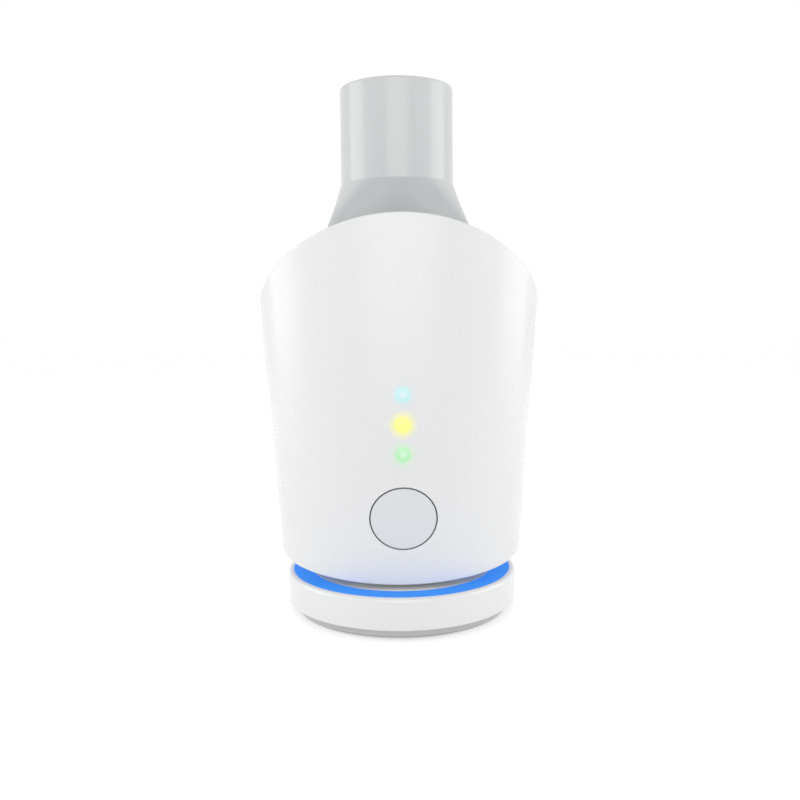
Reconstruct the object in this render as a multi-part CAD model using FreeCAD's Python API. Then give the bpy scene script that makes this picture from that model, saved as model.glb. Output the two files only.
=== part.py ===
import FreeCAD, Part
import math
import os

# Handheld spirometer standing on its round wireless charging pad.
# Units are millimetres, +Z is up, +Y points to the back.
# The origin is the centre of the pad's underside, on the table.
# Handset heights are measured from the underside of its own foot.

# Airway: the tube, and the duct with its outlet
tube_radius = 15.0
tube_wall = 1.5
tube_height = 25.0
tube_rim_round = 0.6
airway_y = 7.5
neck_top_z = 102.5
spigot_length = 16.0
spigot_step = 3.4
spigot_wall = 1.6
spigot_gap = 0.08
spigot_lead_in = 0.4
spigot_end_gap = 0.4
tube_funnel_height = 3.5
bore_lead_in = 0.25
seal_section = 0.8
seal_height_on_spigot = 4.0
neck_socket_wall = 1.6
duct_wall = 1.4
duct_bottom_z = 10.5
duct_floor = 1.5
duct_seat = 4.0
outlet_height = 17.0
outlet_flare = 1.0

# Ultrasonic pair that looks across the duct on a slant
transducer_middle_z = 43.5
transducer_tilt = 40.0
transducer_radius = 4.0
transducer_length = 6.5
transducer_setback = 3.0
transducer_pin_length = 2.0
transducer_pin_radius = 0.3
seal_ring_wall = 0.6
seal_ring_length = 1.2
barrel_wall = 1.0
barrel_cap_thickness = 1.2
barrel_lid_thickness = 0.6
wire_hole_radius = 1.0

# Handset casing: a tapered oval body with a scooped top
foot_half_width = 31.55
taper = 0.068
depth_ratio = 0.70
wall = 2.2
hood_drop = 10.2
shoulder_drop = 22.8
scoop_radius = 140.0
belly_z = 1.2
belly_rise = 5.6
belly_margin = 0.85
lap_depth = 2.0
fit = 0.1
cover_recess = 0.8
cover_thickness = 2.2
edge_round = 0.4
seam_width = 0.3
seam_depth = 0.35

# Neck of the top cover, from the round tube to a wide flat-fronted oval
neck_mid_drop = 11.5
neck_mid_flare = 3.3
neck_mid_flat = 2.2
neck_mid_front_corner = 3.2
neck_mid_back_corner = 9.0
neck_low_drop = 46.5
neck_low_flare = 7.5
neck_low_flat = 2.7
neck_low_front_corner = 5.0
neck_low_back_corner = 12.0
neck_flat_angle = 35.0
neck_side_angle = 20.0

# Lamps, button, board and cell
lamp_radius = 1.95
lamp_top_z = 48.5
lamp_pitch = 7.27
lamp_dome = 0.25
lamp_flange = 0.8
lamp_flange_gap = 0.15
chip_gap = 0.25
chip_size = 1.6
chip_height = 0.8
board_thickness = 1.6
board_side_gap = 0.4
board_bottom_z = 9.0
board_over_cell = 7.0
board_corner = 2.0
button_z = 18.0
button_half_width = 8.05
button_half_height = 7.5
button_gap = 0.4
button_flange = 1.2
button_flange_thickness = 0.8
button_travel = 0.8
button_wall = 1.6
button_hollow_depth = 1.2
button_rib_wall = 0.6
gasket_thickness = 0.6
gasket_rim = 1.2
gasket_lap = 1.0
switch_size = 6.0
switch_depth = 2.0
plunger_radius = 1.6
plunger_length = 0.5
plunger_gap = 0.05
cell_side_inset = 0.2
cell_height = 36.0
cell_thickness = 5.5
cell_bottom_z = 27.0
cell_corner = 1.6
processor_size = 7.0
processor_height = 0.9
radio_width = 9.0
radio_length = 7.5
radio_height = 1.8
board_part_gap = 1.2
wire_socket_count = 3
wire_socket_width = 4.0
wire_socket_height = 2.6
wire_socket_depth = 3.0
wire_socket_pitch = 5.5
wire_socket_mouth = 0.5

# Screws and bosses
boss_radius = 3.0
screw_radius = 1.25
head_radius = 2.4
head_height = 1.6
head_cross_width = 0.6
head_cross_depth = 0.7
head_cross_share = 0.55
boss_gap = 3.2
boss_root = 0.2
head_sink = 0.3
case_screw_low_z = 15.0
case_screw_grip = 5.0
case_hole_depth = 6.0
board_screw_inset = 3.5
board_boss_radius = 2.0
board_screw_radius = 0.8
board_head_radius = 1.6
board_head_height = 1.0
board_screw_grip = 1.0
board_hole_depth = 1.2

# Outlet slots in the rear shell
slot_count = 5
slot_width = 2.2
slot_pitch = 4.2
slot_margin = 2.0

# Foot and charging coil of the handset
base_thickness = 2.2
foot_radius = 18.5
foot_seat_depth = 1.0
foot_edge = 0.35
foot_groove_inset = 3.0
foot_groove_width = 1.2
foot_groove_depth = 0.4
coil_pocket_gap = 0.5
receiver_inner = 8.0
receiver_outer = 16.0
receiver_height = 0.8
ferrite_thickness = 0.6
ferrite_margin = 1.0

# Charging pad
pad_radius = 30.55
pad_height = 10.7
pad_side_bottom_z = 2.85
pad_round = 0.8
pad_wall = 1.6
pad_roof = 2.9
pad_rim = 1.5
ring_width = 5.0
ring_depth = 1.5
disc_rim = 0.65
disc_gap = 0.05
disc_recess = 0.3
disc_thickness = 1.2
side_edge = 0.25
pad_base_setback = 2.15
pad_base_thickness = 2.4
foot_ring_inset = 3.4
foot_ring_width = 5.0
foot_ring_height = 1.2
foot_ring_seat = 0.75
base_edge = 0.5
base_step_height = 1.0
base_step_wall = 1.6
pad_board_inset = 2.95
pad_board_thickness = 1.2
transmitter_inset = 4.0
transmitter_width = 10.4
transmitter_height = 1.0
ring_led_count = 12
ring_led_size = 2.0
ring_led_height = 0.9
ring_led_inset = 1.0
light_window_margin = 0.4
pad_screw_count = 3
pad_screw_inset = 4.0
pad_screw_turn = 30.0
pad_board_gap = 0.05
board_notch_margin = 1.0

# Cable: a small plug in the pad, the lead, and a wider plug at its far end
socket_half_width = 4.5
socket_height = 3.0
socket_depth = 7.0
socket_wall = 0.4
socket_inset = 1.0
socket_height_in_side = 2.2
contact_tongue_margin = 1.2
contact_tongue_half_height = 0.3
contact_tongue_setback = 1.5
plug_gap = 0.15
plug_tongue_gap = 0.1
plug_tongue_end_gap = 0.6
plug_mouth_floor = 1.0
cable_plug_half_width = 5.2
cable_plug_height = 6.0
cable_plug_length = 9.0
relief_length = 12.0
relief_radius = 2.4
relief_end_wall = 0.25
relief_core_wall = 0.15
relief_ring_count = 5
relief_ring_width = 0.8
lead_grip = 2.0
plug_corner = 1.6
plug_edge = 0.6
cable_diameter = 3.0
coil_centre = (2.0, 102.0)
coil_mean_radius = 18.0
coil_turns_wide = 4
coil_layers = 2
coil_edge_share = 0.6
usb_body_half_width = 7.8
usb_body_height = 8.0
usb_body_length = 21.0
usb_shell_half_width = 6.0
usb_shell_height = 4.5
usb_shell_length = 12.0
usb_shell_wall = 0.4
usb_corner = 2.0
usb_tongue_height = 1.8
usb_window = 2.2
usb_window_setback = 5.0
usb_gap_to_coil = 3.0

# Sizes and places that follow from those above; far and the ends reach past the handset's sides
V = FreeCAD.Vector
UP = V(0, 0, 1)
BACK = V(0, 1, 0)
RIGHT = V(1, 0, 0)
far = 60.0
low_end, high_end = -5.0, 120.0
form_below, form_above, scoop_above = 2.0, 6.0, 4.0
dock_z = pad_height - disc_recess
tube_bore_radius = tube_radius - tube_wall
spigot_radius = tube_radius - spigot_step
duct_bore_radius = spigot_radius - spigot_wall
duct_radius = duct_bore_radius + duct_wall
outlet_bottom_z = duct_bottom_z + duct_floor
outlet_half_width = duct_bore_radius + outlet_flare
hood_z = neck_top_z - hood_drop
shoulder_z = hood_z - shoulder_drop
belly_half_width = foot_half_width + belly_margin
neck_mid_z = neck_top_z - neck_mid_drop
neck_low_z = neck_top_z - neck_low_drop
case_screw_x = outlet_half_width + duct_wall + boss_gap + boss_radius
case_screw_high_z = transducer_middle_z
board_half_width = case_screw_x - boss_radius - board_side_gap
board_screw_x = board_half_width - board_screw_inset
board_top_z = cell_bottom_z + cell_height + board_over_cell
cell_half_width = board_half_width - cell_side_inset
coil_pocket_radius = receiver_outer + ferrite_margin + coil_pocket_gap
ring_outer = pad_radius - pad_rim
ring_inner = ring_outer - ring_width
disc_radius = ring_inner - disc_rim
pad_base_radius = pad_radius - pad_base_setback
foot_ring_outer = pad_base_radius - foot_ring_inset
foot_ring_inner = foot_ring_outer - foot_ring_width
pad_board_radius = pad_radius - pad_wall - pad_board_inset
transmitter_outer = disc_radius - transmitter_inset
transmitter_inner = transmitter_outer - transmitter_width
pad_screw_pcd_radius = foot_ring_inner - pad_screw_inset
spigot_bottom_z = neck_top_z - spigot_length
duct_top_z = spigot_bottom_z - spigot_end_gap
socket_radius = spigot_radius + spigot_gap
tube_top_z = neck_top_z + tube_height
barrel_bore_radius = transducer_radius + seal_ring_wall
transducer_start = duct_bore_radius + transducer_setback
barrel_end = transducer_start + transducer_length + transducer_pin_length + barrel_cap_thickness
cable_radius = cable_diameter / 2
socket_z = pad_side_bottom_z + socket_height_in_side
socket_back_y = pad_radius - pad_wall - socket_inset
plug_back_y = pad_radius + cable_plug_length
relief_back_y = plug_back_y + relief_length


def cylinder(radius, height, base, direction=UP):
    return Part.makeCylinder(radius, height, base, direction)


def block(low, high):
    return Part.makeBox(high[0] - low[0], high[1] - low[1], high[2] - low[2], V(*low))


def fuse_all(shapes):
    return shapes[0].multiFuse(shapes[1:]).removeSplitter()


def save(name, shape, lift=0.0):
    moved = shape.copy()
    moved.translate(V(0, 0, lift))
    moved.exportStep("parts/" + name + ".step")
    print("%-20s solids %d volume %.1f valid %s" % (name, len(moved.Solids), moved.Volume, moved.isValid()))


def ring(outer, inner, height, z, x=0.0, y=0.0):
    return cylinder(outer, height, V(x, y, z)).cut(cylinder(inner, height, V(x, y, z)))


def spun(points, x=0.0, y=0.0):
    """Solid of revolution about a vertical axis from (radius, height) points."""
    wire = Part.makePolygon([V(x + r, y, z) for r, z in points + points[:1]])
    return Part.Face(wire).revolve(V(x, y, 0), UP, 360)


def half_width(z):
    return foot_half_width + taper * z


def oval_wire(half_x, half_y, z):
    return Part.Wire([Part.Ellipse(V(0, 0, z), half_x, half_y).toShape()])


def body_form(inset=0.0):
    """The casing's tapered oval, before its top and bottom are cut, drawn in by inset."""
    sections = []
    for z in (-form_below, hood_z + form_above):
        a = half_width(z)
        sections.append(oval_wire(a - inset, depth_ratio * a - inset, z))
    return Part.makeLoft(sections, True, True)


def scoop_centre():
    """Centre of the side-view arc through the hood's tip and the shoulder."""
    tip = V(0, -depth_ratio * half_width(hood_z), hood_z)
    shoulder = V(0, 0, shoulder_z)
    chord = shoulder - tip
    middle = (tip + shoulder) * 0.5
    away = V(0, -chord.z, chord.y).normalize()
    return middle + away * math.sqrt(scoop_radius ** 2 - (chord.Length / 2) ** 2)


def below_scoop(sink=0.0):
    """Everything under the scooped top, whose surface is lowered by sink."""
    centre = scoop_centre()
    outer = cylinder(scoop_radius + sink, 2 * far, V(-far, centre.y, centre.z), RIGHT)
    space = block((-far, -far, low_end), (far, far, hood_z + scoop_above))
    return space.cut(outer)


def above_belly(lift=0.0):
    """Everything over the curved underside, raised by lift."""
    centre = V(0, 0, belly_z + belly_rise + lift)
    half = belly_half_width
    curve = Part.Ellipse(centre + V(half, 0, 0), centre + V(0, 0, belly_rise), centre)
    lower = Part.ArcOfEllipse(curve, math.pi, 2 * math.pi).toShape()
    left, right = lower.Vertexes[0].Point, lower.Vertexes[-1].Point
    corners = [right, V(far, 0, right.z), V(far, 0, high_end), V(-far, 0, high_end), V(-far, 0, left.z), left]
    sides = [Part.LineSegment(a, b).toShape() for a, b in zip(corners, corners[1:])]
    face = Part.Face(Part.Wire([lower] + sides))
    face.translate(V(0, -far, 0))
    return face.extrude(V(0, 2 * far, 0))


def casing_solid():
    """Whole outer form of the handset's shells, with its scooped rim and its lower edge rounded."""
    form = body_form().common(below_scoop()).common(above_belly())
    rims = [e for e in form.Edges if e.BoundBox.XLength > foot_half_width]
    return form.makeFillet(edge_round, rims)


def neck_circle(z, radius):
    """The tube's circle, cut into eight arcs that match the eight edges of neck_oval."""
    edges = []
    flat = math.radians(neck_flat_angle)
    side = math.radians(neck_side_angle)
    turns = [-math.pi / 2 - flat, -math.pi / 2 + flat, -side, side,
             math.pi / 2 - flat, math.pi / 2 + flat, math.pi - side, math.pi + side]
    for start, end in zip(turns, turns[1:] + [turns[0] + 2 * math.pi]):
        middle = (start + end) / 2
        points = [V(radius * math.cos(t), airway_y + radius * math.sin(t), z) for t in (start, middle, end)]
        edges.append(Part.Arc(*points).toShape())
    return Part.Wire(edges)


def neck_oval(z, half_x, half_y, front_corner, back_corner):
    """Flat-fronted oval of four lines and four arcs."""
    edges = []
    ends = []
    for sx, sy, first in ((1, -1, -90), (1, 1, 0), (-1, 1, 90), (-1, -1, 180)):
        corner = front_corner if sy < 0 else back_corner
        cx, cy = sx * (half_x - corner), airway_y + sy * (half_y - corner)
        points = []
        for degrees in (first, first + 45, first + 90):
            t = math.radians(degrees)
            points.append(V(cx + corner * math.cos(t), cy + corner * math.sin(t), z))
        ends.append(points)
    for here, following in zip(ends, ends[1:] + ends[:1]):
        edges.append(Part.Arc(*here).toShape())
        edges.append(Part.LineSegment(here[2], following[0]).toShape())
    edges = edges[-1:] + edges[:-1]
    return Part.Wire(edges)


def neck_form(inset=0.0):
    """Neck's outer form, or the hollow inside its wall when drawn in by inset."""
    r = tube_radius - inset
    middle = neck_oval(neck_mid_z, r + neck_mid_flare, r - neck_mid_flat,
                       neck_mid_front_corner - inset, neck_mid_back_corner - inset)
    low = neck_oval(neck_low_z, r + neck_low_flare, r - neck_low_flat,
                    neck_low_front_corner - inset, neck_low_back_corner - inset)
    return Part.makeLoft([neck_circle(neck_top_z, r), middle, low], True, True)


def top_cover():
    """Scooped plate inside the shells' rim, with a hollow neck and the socket that holds the tube."""
    underneath = below_scoop(cover_recess + cover_thickness)
    plate = body_form(wall + fit).common(below_scoop(cover_recess)).cut(underneath)
    cover = plate.fuse(neck_form().cut(underneath)).cut(neck_form(wall))
    seat = V(0, airway_y, duct_top_z - duct_seat)
    socket_tube = cylinder(socket_radius + neck_socket_wall, neck_top_z - seat.z, seat).common(neck_form())
    cover = cover.fuse(socket_tube).removeSplitter()
    axis_foot = V(0, airway_y, 0)
    cover = cover.cut(cylinder(duct_radius, duct_top_z, axis_foot))
    socket_base = V(0, airway_y, duct_top_z)
    return cover.cut(cylinder(socket_radius, tube_height, socket_base))


def shell_walls():
    return casing_solid().cut(body_form(wall))


def seam_groove():
    """Cutter for the shallow line round the casing where its two halves meet."""
    slice_there = block((-far, -seam_width / 2, low_end), (far, seam_width / 2, high_end))
    return slice_there.cut(body_form(seam_depth))


def rear_shell():
    """Back half, with the inner lip, four screw bosses and the outlet slots."""
    half = shell_walls().common(block((-far, 0, low_end), (far, far, high_end)))
    lip = body_form(wall / 2 + fit).cut(body_form(wall)).common(casing_solid())
    lip = lip.common(block((-far, -lap_depth, low_end), (far, 0, high_end)))
    bosses = []
    holes = []
    for x, z in case_screw_places():
        bosses.append(cylinder(boss_radius, far, V(x, 0, z), BACK))
        holes.append(cylinder(screw_radius, far, V(x, -lap_depth, z), BACK))
        holes.append(cylinder(head_radius + fit, far, V(x, head_face_y(x, z) - head_height, z), BACK))
    bosses = fuse_all(bosses).common(casing_solid())
    shell = fuse_all([half, lip, bosses])
    for hole in holes + outlet_slots() + [seam_groove()]:
        shell = shell.cut(hole)
    return shell


def front_shell():
    """Front half with the lamp holes, the button opening and the bosses."""
    half = shell_walls().common(block((-far, -far, low_end), (far, 0, high_end)))
    lap = body_form(wall / 2).common(block((-far, -lap_depth - fit, low_end), (far, 0, high_end)))
    half = half.cut(lap)
    inner = body_form(wall - boss_root).common(above_belly()).common(below_scoop())
    bosses = []
    for x, z in case_screw_places():
        bosses.append(cylinder(boss_radius, far, V(x, -far, z), BACK))
    for x, z in board_screw_places():
        bosses.append(cylinder(board_boss_radius, far, V(x, board_front_y() - far, z), BACK))
    bosses = fuse_all(bosses).common(inner)
    shell = half.fuse(bosses).removeSplitter()
    for x, z in case_screw_places():
        shell = shell.cut(cylinder(screw_radius, case_hole_depth, V(x, -case_hole_depth, z), BACK))
    for x, z in board_screw_places():
        hole_end = V(x, board_front_y() - board_hole_depth, z)
        shell = shell.cut(cylinder(board_screw_radius, board_hole_depth, hole_end, BACK))
    for z in lamp_heights():
        shell = shell.cut(cylinder(lamp_radius, far, V(0, -far, z), BACK))
    return shell.cut(button_prism(button_gap, -far, board_front_y())).cut(seam_groove())


def case_screw_places():
    return [(side * case_screw_x, z) for side in (-1, 1) for z in (case_screw_low_z, case_screw_high_z)]


def board_screw_places():
    heights = (board_bottom_z + board_screw_inset, board_top_z - board_screw_inset)
    return [(side * board_screw_x, z) for side in (-1, 1) for z in heights]


def head_face_y(x, z):
    """Depth at which a screw head lies fully sunk in the curved rear wall."""
    a = half_width(z - head_radius)
    outermost = abs(x) + head_radius
    return depth_ratio * a * math.sqrt(1 - (outermost / a) ** 2) - head_sink


def outlet_slots():
    slots = []
    low = outlet_bottom_z + slot_margin + slot_width / 2
    high = outlet_bottom_z + outlet_height - slot_margin - slot_width / 2
    for index in range(slot_count):
        x = (index - (slot_count - 1) / 2) * slot_pitch
        ends = [cylinder(slot_width / 2, far, V(x, airway_y, z), BACK) for z in (low, high)]
        middle = block((x - slot_width / 2, airway_y, low), (x + slot_width / 2, airway_y + far, high))
        slots.append(fuse_all(ends + [middle]))
    return slots


def base_plate():
    """Curved underside plate inside the shells, with seats for the foot and the coil."""
    plate = body_form(wall + fit).common(above_belly()).cut(above_belly(base_thickness))
    plate = plate.cut(cylinder(foot_radius, far, V(0, 0, foot_top_z() - far)))
    return plate.cut(cylinder(coil_pocket_radius, far, V(0, 0, coil_seat_z())))


def foot_top_z():
    return belly_z + foot_seat_depth


def coil_seat_z():
    return belly_z + base_thickness


def base_foot():
    height = foot_top_z()
    r = foot_radius
    disc = spun([(0, 0), (r - 2.5 * foot_edge, 0), (r - foot_edge, foot_edge), (r, height), (0, height)])
    groove_outer = r - foot_groove_inset
    return disc.cut(ring(groove_outer, groove_outer - foot_groove_width, foot_groove_depth, 0))


def receiver_coil():
    return ring(receiver_outer, receiver_inner, receiver_height, coil_seat_z())


def receiver_ferrite():
    seat = V(0, 0, coil_seat_z() + receiver_height)
    return cylinder(receiver_outer + ferrite_margin, ferrite_thickness, seat)


def mouthpiece():
    """Removable tube: straight grip, shoulder, and a spigot with a seal groove."""
    r, top, low, wide = tube_radius, tube_top_z, spigot_bottom_z, spigot_radius
    groove = low + seal_height_on_spigot
    depth = wide - seal_section
    outside = spun([(0, low), (wide - spigot_lead_in, low), (wide, low + spigot_lead_in), (wide, groove),
                    (depth, groove), (depth, groove + 2 * seal_section), (wide, groove + 2 * seal_section),
                    (wide, neck_top_z), (r, neck_top_z), (r, top - tube_rim_round),
                    (r - 0.3 * tube_rim_round, top - 0.3 * tube_rim_round), (r - tube_rim_round, top),
                    (0, top)], y=airway_y)
    for cutter in mouthpiece_bore():
        outside = outside.cut(cutter)
    return outside


def mouthpiece_bore():
    """Cutters for the bore: narrow in the spigot, a funnel over the shoulder, straight and wide above."""
    narrow, wide = duct_bore_radius, tube_bore_radius
    funnel_top = neck_top_z + tube_funnel_height
    throat = cylinder(narrow, neck_top_z - spigot_bottom_z, V(0, airway_y, spigot_bottom_z))
    funnel = Part.makeCone(narrow, wide, tube_funnel_height, V(0, airway_y, neck_top_z), UP)
    straight = cylinder(wide, tube_top_z - funnel_top, V(0, airway_y, funnel_top))
    mouth_base = V(0, airway_y, tube_top_z - bore_lead_in)
    mouth = Part.makeCone(wide, wide + bore_lead_in, bore_lead_in, mouth_base, UP)
    return [throat, funnel, straight, mouth]


def mouthpiece_seal():
    """Flat seal ring with bevelled edges in the middle of the spigot's groove."""
    inner, outer = spigot_radius - seal_section, spigot_radius + spigot_gap / 2
    low = spigot_bottom_z + seal_height_on_spigot + seal_section / 2
    high = low + seal_section
    bevel = seal_section / 4
    return spun([(inner, low), (outer - bevel, low), (outer, low + bevel), (outer, high - bevel),
                 (outer - bevel, high), (inner, high)], y=airway_y)


def flow_duct():
    """Vertical duct, closed below, with a rectangular outlet at the back and two slanted sensor barrels."""
    foot = V(0, airway_y, duct_bottom_z)
    outside = cylinder(duct_radius, duct_top_z - duct_bottom_z, foot)
    inside = cylinder(duct_bore_radius, duct_top_z, foot + V(0, 0, outlet_bottom_z - duct_bottom_z))
    w, low, high = outlet_half_width, outlet_bottom_z, outlet_bottom_z + outlet_height
    nozzle = block((-w - duct_wall, airway_y, low - duct_wall), (w + duct_wall, far, high + duct_wall))
    throat = block((-w, airway_y, low), (w, far, high))
    nozzle = nozzle.common(body_form(wall + fit))
    outside = outside.fuse(nozzle)
    for side in (-1, 1):
        outside = outside.fuse(on_sound_path(side, barrel_bore_radius + barrel_wall, 0.0, barrel_end))
    duct = outside.cut(inside).cut(throat)
    for side in (-1, 1):
        duct = duct.cut(on_sound_path(side, barrel_bore_radius, 0.0, barrel_end))
    return duct.removeSplitter()


def sound_direction(side):
    """From the duct's middle towards the upper transducer (side 1) or the lower one (side -1)."""
    t = math.radians(transducer_tilt)
    return V(side * math.cos(t), 0, side * math.sin(t))


def on_sound_path(side, radius, start, end, off_axis=0.0):
    """Round piece on the slanted path, from start to end as measured from the duct's axis."""
    way = sound_direction(side)
    base = V(0, airway_y + off_axis, transducer_middle_z) + way * start
    return cylinder(radius, end - start, base, way)


def transducer(side):
    """Round ultrasonic element with two pins at its back."""
    end = transducer_start + transducer_length
    can = on_sound_path(side, transducer_radius, transducer_start, end)
    pins = [on_sound_path(side, transducer_pin_radius, transducer_start, end + transducer_pin_length, off)
            for off in (-transducer_radius / 2, transducer_radius / 2)]
    return fuse_all([can] + pins)


def transducer_seals():
    rings = []
    start = transducer_start + transducer_length / 2
    for side in (-1, 1):
        outer = on_sound_path(side, barrel_bore_radius, start, start + seal_ring_length)
        rings.append(outer.cut(on_sound_path(side, transducer_radius, 0.0, barrel_end)))
    return Part.makeCompound(rings)


def transducer_caps():
    """Push-in caps that close the barrels behind the pins, each with a hole for the wires."""
    caps = []
    for side in (-1, 1):
        cap = on_sound_path(side, barrel_bore_radius, barrel_end - barrel_cap_thickness, barrel_end)
        lid_end = barrel_end + barrel_lid_thickness
        lid = on_sound_path(side, barrel_bore_radius + barrel_wall, barrel_end, lid_end)
        hole = on_sound_path(side, wire_hole_radius, 0.0, lid_end)
        caps.append(cap.fuse(lid).removeSplitter().cut(hole))
    return Part.makeCompound(caps)


def button_prism(grow, y_from, y_to):
    """Oval prism along Y round the button's centre, larger than the cap by grow."""
    half_x, half_z = button_half_width + grow, button_half_height + grow
    centre = V(0, y_from, button_z)
    curve = Part.Ellipse(centre + V(half_x, 0, 0), centre + V(0, 0, half_z), centre)
    return Part.Face(Part.Wire([curve.toShape()])).extrude(V(0, y_to - y_from, 0))


def button_back_y():
    """Plane of the flange's back face, its thickness behind the shell's inner wall at the flange's edge."""
    a = half_width(button_z - button_half_height - button_flange) - wall
    b = depth_ratio * (a + wall) - wall
    edge = (button_half_width + button_flange) / a
    return -b * math.sqrt(1 - edge ** 2) + button_flange_thickness


def board_front_y():
    """Front of the main board, behind the button's travel and its switch."""
    return button_back_y() + button_travel + plunger_gap + plunger_length + switch_depth


def board_back_y():
    return board_front_y() + board_thickness


def button_cap():
    back = button_back_y()
    face = button_prism(0, -far, back).common(body_form())
    flange = button_prism(button_flange, -far, back).common(body_form(wall + fit))
    cap = face.fuse(flange).removeSplitter()
    hollow = button_prism(-button_wall, back - button_hollow_depth, back)
    rib_base = V(0, back - button_hollow_depth, button_z)
    rib = cylinder(plunger_radius + button_rib_wall, button_hollow_depth, rib_base, BACK)
    return cap.cut(hollow.cut(rib))


def button_gasket():
    """Soft frame behind the flange that keeps dust out and lets the cap travel."""
    start = button_back_y() + button_travel + fit
    outer = button_prism(button_flange + gasket_rim, start, start + gasket_thickness)
    return outer.cut(button_prism(-gasket_lap, start, start + gasket_thickness))


def button_switch():
    half = switch_size / 2
    plunger_front = button_back_y() + button_travel + plunger_gap
    body_front = plunger_front + plunger_length
    body = block((-half, body_front, button_z - half), (half, board_front_y(), button_z + half))
    plunger = cylinder(plunger_radius, body_front - plunger_front, V(0, plunger_front, button_z), BACK)
    return body.fuse(plunger).removeSplitter()


def lamp_heights():
    return [lamp_top_z - index * lamp_pitch for index in range(3)]


def lamp_lens(z):
    """Light pipe with a low dome outside and a flange behind the wall."""
    face_y = -depth_ratio * half_width(z)
    back_y = board_front_y() - chip_height - chip_gap
    barrel = cylinder(lamp_radius, back_y - face_y, V(0, face_y, z), BACK)
    dome_radius = (lamp_radius ** 2 + lamp_dome ** 2) / (2 * lamp_dome)
    ball = Part.makeSphere(dome_radius, V(0, face_y - lamp_dome + dome_radius, z))
    cap = cylinder(lamp_radius, lamp_dome, V(0, face_y - lamp_dome, z), BACK).common(ball)
    flange_start = face_y + wall + lamp_flange_gap
    flange = cylinder(lamp_radius + lamp_flange, lamp_flange, V(0, flange_start, z), BACK)
    return fuse_all([barrel, cap, flange])


def lamp_chips():
    half = chip_size / 2
    chips = [block((-half, board_front_y() - chip_height, z - half), (half, board_front_y(), z + half))
             for z in lamp_heights()]
    return Part.makeCompound(chips)


def main_board():
    board = block((-board_half_width, board_front_y(), board_bottom_z),
                  (board_half_width, board_back_y(), board_top_z))
    corners = [e for e in board.Edges if abs(e.Length - board_thickness) < 1e-6]
    board = board.makeFillet(board_corner, corners)
    for x, z in board_screw_places():
        hole_start = V(x, board_front_y(), z)
        board = board.cut(cylinder(board_screw_radius + fit, board_thickness, hole_start, BACK))
    return board


def board_parts():
    """Processor, shielded radio module and a row of wire sockets on the board's back, under the cell."""
    back, middle = board_back_y(), (board_bottom_z + board_screw_inset + cell_bottom_z) / 2
    inner, half, tall = board_part_gap / 2, processor_size / 2, radio_length / 2
    processor = block((-inner - processor_size, back, middle - half),
                      (-inner, back + processor_height, middle + half))
    radio = block((inner, back, middle - tall), (inner + radio_width, back + radio_height, middle + tall))
    parts = [processor, radio]
    low = board_bottom_z + fit
    for index in range(wire_socket_count):
        x = (index - (wire_socket_count - 1) / 2) * wire_socket_pitch
        side, m = wire_socket_width / 2, wire_socket_mouth
        body = block((x - side, back, low), (x + side, back + wire_socket_depth, low + wire_socket_height))
        mouth = block((x - side + m, back + m, low), (x + side - m, back + wire_socket_depth - m, low + m))
        parts.append(body.cut(mouth))
    return Part.makeCompound(parts)


def battery():
    half = cell_half_width
    back, top = board_back_y() + cell_thickness, cell_bottom_z + cell_height
    cell = block((-half, board_back_y(), cell_bottom_z), (half, back, top))
    upright = [e for e in cell.Edges if abs(e.Length - cell_height) < 1e-6]
    return cell.makeFillet(cell_corner, upright)


def screw(x, z, head_y, end_y, shank, head, head_thick):
    """Screw along Y from its cross-cut head, whose face is at head_y, forward to end_y."""
    start = V(x, head_y, z)
    head_part = cylinder(head, head_thick, start, -BACK)
    solid = head_part.fuse(cylinder(shank, head_y - end_y, start, -BACK)).removeSplitter()
    arm, half, floor = head * head_cross_share, head_cross_width / 2, head_y - head_cross_depth
    for dx, dz in ((arm, half), (half, arm)):
        solid = solid.cut(block((x - dx, floor, z - dz), (x + dx, head_y, z + dz)))
    return solid


def case_screws():
    screws = []
    for x, z in case_screw_places():
        head_y = head_face_y(x, z)
        screws.append(screw(x, z, head_y, -case_screw_grip, screw_radius, head_radius, head_height))
    return Part.makeCompound(screws)


def board_screws():
    screws = []
    head_y = board_back_y() + board_head_height
    end_y = board_front_y() - board_screw_grip
    for x, z in board_screw_places():
        screws.append(screw(x, z, head_y, end_y, board_screw_radius, board_head_radius, board_head_height))
    return Part.makeCompound(screws)


def pad_housing():
    """White casing of the pad: rounded rim, channel for the light ring and recess for the disc."""
    top, low, r = pad_height, pad_side_bottom_z, pad_radius
    roof = top - pad_roof
    c = pad_round
    points = [(r - side_edge, low), (r, low + side_edge), (r, top - c),
              (r - 0.3 * c, top - 0.3 * c), (r - c, top), (ring_outer, top),
              (ring_outer, top - ring_depth), (ring_inner, top - ring_depth), (ring_inner, top),
              (disc_radius, top), (disc_radius, top - disc_recess - disc_thickness),
              (0, top - disc_recess - disc_thickness), (0, roof), (r - pad_wall, roof), (r - pad_wall, low)]
    housing = spun(points)
    for index in range(ring_led_count):
        housing = housing.cut(light_window(index))
    return housing.cut(socket_hole())


def ring_led_place(index):
    t = math.radians(360.0 * (index + 0.5) / ring_led_count)
    middle = (ring_outer + ring_inner) / 2 - ring_led_inset
    return middle * math.cos(t), middle * math.sin(t)


def light_window(index):
    x, y = ring_led_place(index)
    return cylinder(ring_led_size / 2 + light_window_margin, pad_roof, V(x, y, pad_height - pad_roof))


def socket_hole():
    half, high = cable_plug_half_width + plug_gap, cable_plug_height / 2 + plug_gap
    return block((-half, socket_back_y, socket_z - high), (half, far, socket_z + high))


def socket_room():
    """Clearance round the inlet's shell."""
    half, high = socket_half_width + fit, socket_height / 2 + fit
    return block((-half, socket_back_y - socket_depth - fit, socket_z - high), (half, far, socket_z + high))


def pad_ring():
    z = pad_height - ring_depth
    return ring(ring_outer, ring_inner, ring_depth, z)


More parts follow.
